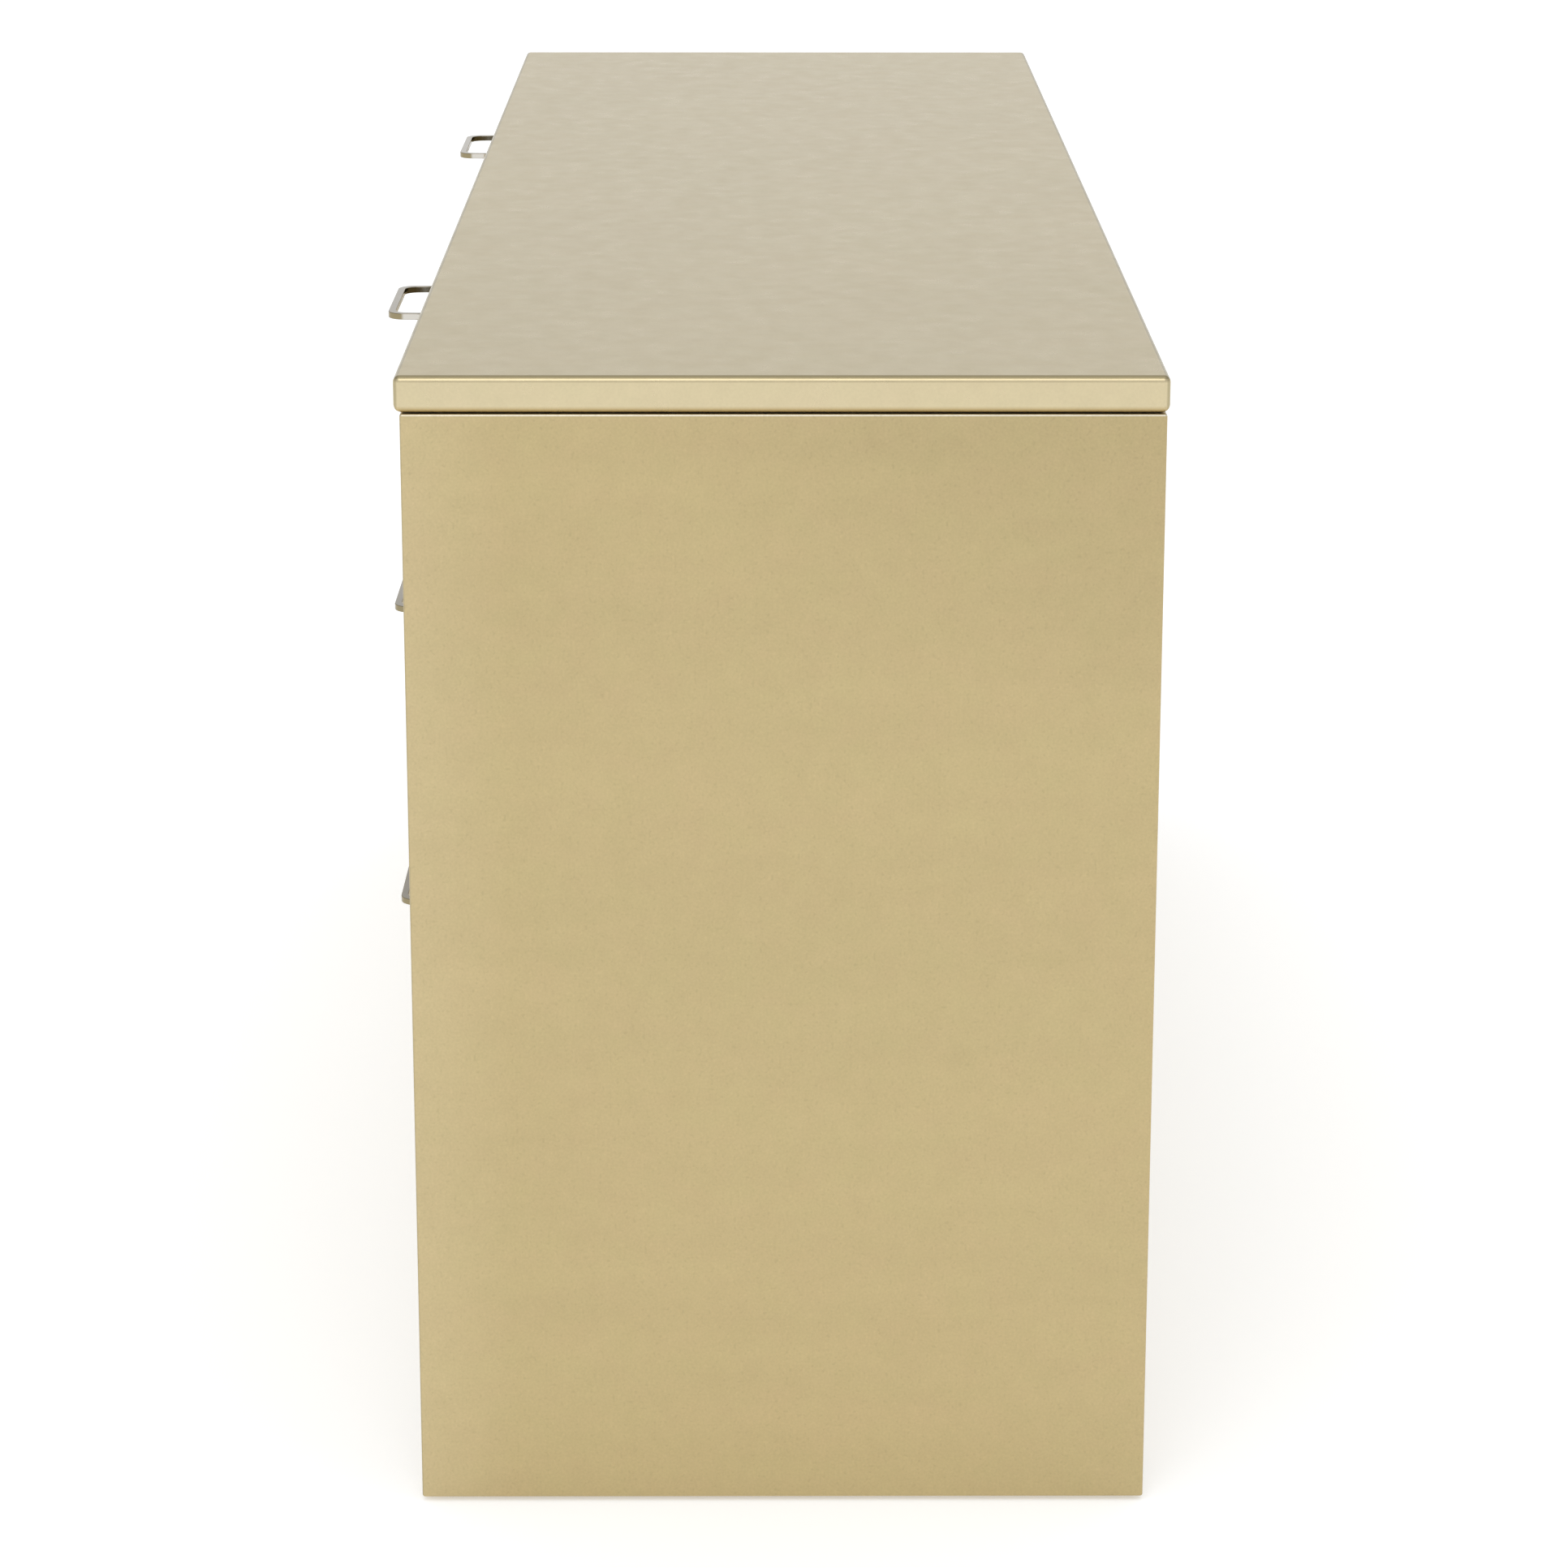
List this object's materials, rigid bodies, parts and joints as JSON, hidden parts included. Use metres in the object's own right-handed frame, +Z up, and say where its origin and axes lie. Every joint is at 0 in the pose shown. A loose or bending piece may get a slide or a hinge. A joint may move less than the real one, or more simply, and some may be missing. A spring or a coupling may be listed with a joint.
{
  "type": "filing cabinet",
  "caption": "Long, low steel filing cabinet with two columns of drawers on slides, a cap-like top with rounded edges, double end walls and chrome bow pulls.",
  "frame": {"origin": "middle of the whole cabinet's box at floor level, with the pulls counted in its depth", "axes": "+Z up; +X along the cabinet's length, to the right of someone facing its drawers; the drawers face and open towards -Y, and the back faces +Y"},
  "size_m": [1.524, 0.4948, 0.728],
  "materials": {
    "champagne_paint": "satin champagne-gold metallic stoving enamel with a fine speckle",
    "inside_paint": "thinner, duller coat of the same enamel inside the case and drawers",
    "polished_chrome": "bright polished chrome plate",
    "zinc_plate": "bright zinc plate with rolling marks",
    "rail_steel": "plain rolled steel strip, lightly oiled",
    "glide_plastic": "black moulded nylon"
  },
  "bodies": {
    "case": {"top": "champagne_paint", "end_panel_left": "champagne_paint", "end_panel_right": "champagne_paint", "end_liner_left": "inside_paint", "end_liner_right": "inside_paint", "back_panel": "champagne_paint", "base_rail": "champagne_paint", "bottom_pan": "inside_paint", "centre_divider": "inside_paint", "top_rail": "inside_paint", "glide_front_left": "glide_plastic", "glide_front_right": "glide_plastic", "glide_back_left": "glide_plastic", "glide_back_right": "glide_plastic", "slide_channel_left_top_inner": "zinc_plate", "slide_channel_left_top_outer": "zinc_plate", "slide_channel_left_middle_inner": "zinc_plate", "slide_channel_left_middle_outer": "zinc_plate", "slide_channel_left_bottom_inner": "zinc_plate", "slide_channel_left_bottom_outer": "zinc_plate", "slide_channel_right_top_inner": "zinc_plate", "slide_channel_right_top_outer": "zinc_plate", "slide_channel_right_middle_inner": "zinc_plate", "slide_channel_right_middle_outer": "zinc_plate", "slide_channel_right_bottom_inner": "zinc_plate", "slide_channel_right_bottom_outer": "zinc_plate"},
    "drawer_left_top": {"drawer_front_left_top": "champagne_paint", "drawer_box_left_top": "inside_paint", "handle_left_top": "polished_chrome", "slide_runner_left_top_inner": "zinc_plate", "slide_runner_left_top_outer": "zinc_plate"},
    "drawer_left_middle": {"drawer_front_left_middle": "champagne_paint", "drawer_box_left_middle": "inside_paint", "handle_left_middle": "polished_chrome", "slide_runner_left_middle_inner": "zinc_plate", "slide_runner_left_middle_outer": "zinc_plate"},
    "drawer_left_bottom": {"drawer_front_left_bottom": "champagne_paint", "drawer_box_left_bottom": "inside_paint", "handle_left_bottom": "polished_chrome", "slide_runner_left_bottom_inner": "zinc_plate", "slide_runner_left_bottom_outer": "zinc_plate", "file_rail_left_front": "rail_steel", "file_rail_left_back": "rail_steel"},
    "drawer_right_top": {"drawer_front_right_top": "champagne_paint", "drawer_box_right_top": "inside_paint", "handle_right_top": "polished_chrome", "slide_runner_right_top_inner": "zinc_plate", "slide_runner_right_top_outer": "zinc_plate"},
    "drawer_right_middle": {"drawer_front_right_middle": "champagne_paint", "drawer_box_right_middle": "inside_paint", "handle_right_middle": "polished_chrome", "slide_runner_right_middle_inner": "zinc_plate", "slide_runner_right_middle_outer": "zinc_plate"},
    "drawer_right_bottom": {"drawer_front_right_bottom": "champagne_paint", "drawer_box_right_bottom": "inside_paint", "handle_right_bottom": "polished_chrome", "slide_runner_right_bottom_inner": "zinc_plate", "slide_runner_right_bottom_outer": "zinc_plate", "file_rail_right_front": "rail_steel", "file_rail_right_back": "rail_steel"}
  },
  "joints": [
    {"name": "drawer_left_top_slide", "type": "slide", "parent": "case", "child": "drawer_left_top", "axis": [0, -1, 0], "range_m": [0, 0.3]},
    {"name": "drawer_left_middle_slide", "type": "slide", "parent": "case", "child": "drawer_left_middle", "axis": [0, -1, 0], "range_m": [0, 0.3]},
    {"name": "drawer_left_bottom_slide", "type": "slide", "parent": "case", "child": "drawer_left_bottom", "axis": [0, -1, 0], "range_m": [0, 0.3]},
    {"name": "drawer_right_top_slide", "type": "slide", "parent": "case", "child": "drawer_right_top", "axis": [0, -1, 0], "range_m": [0, 0.3]},
    {"name": "drawer_right_middle_slide", "type": "slide", "parent": "case", "child": "drawer_right_middle", "axis": [0, -1, 0], "range_m": [0, 0.3]},
    {"name": "drawer_right_bottom_slide", "type": "slide", "parent": "case", "child": "drawer_right_bottom", "axis": [0, -1, 0], "range_m": [0, 0.3]}
  ]
}
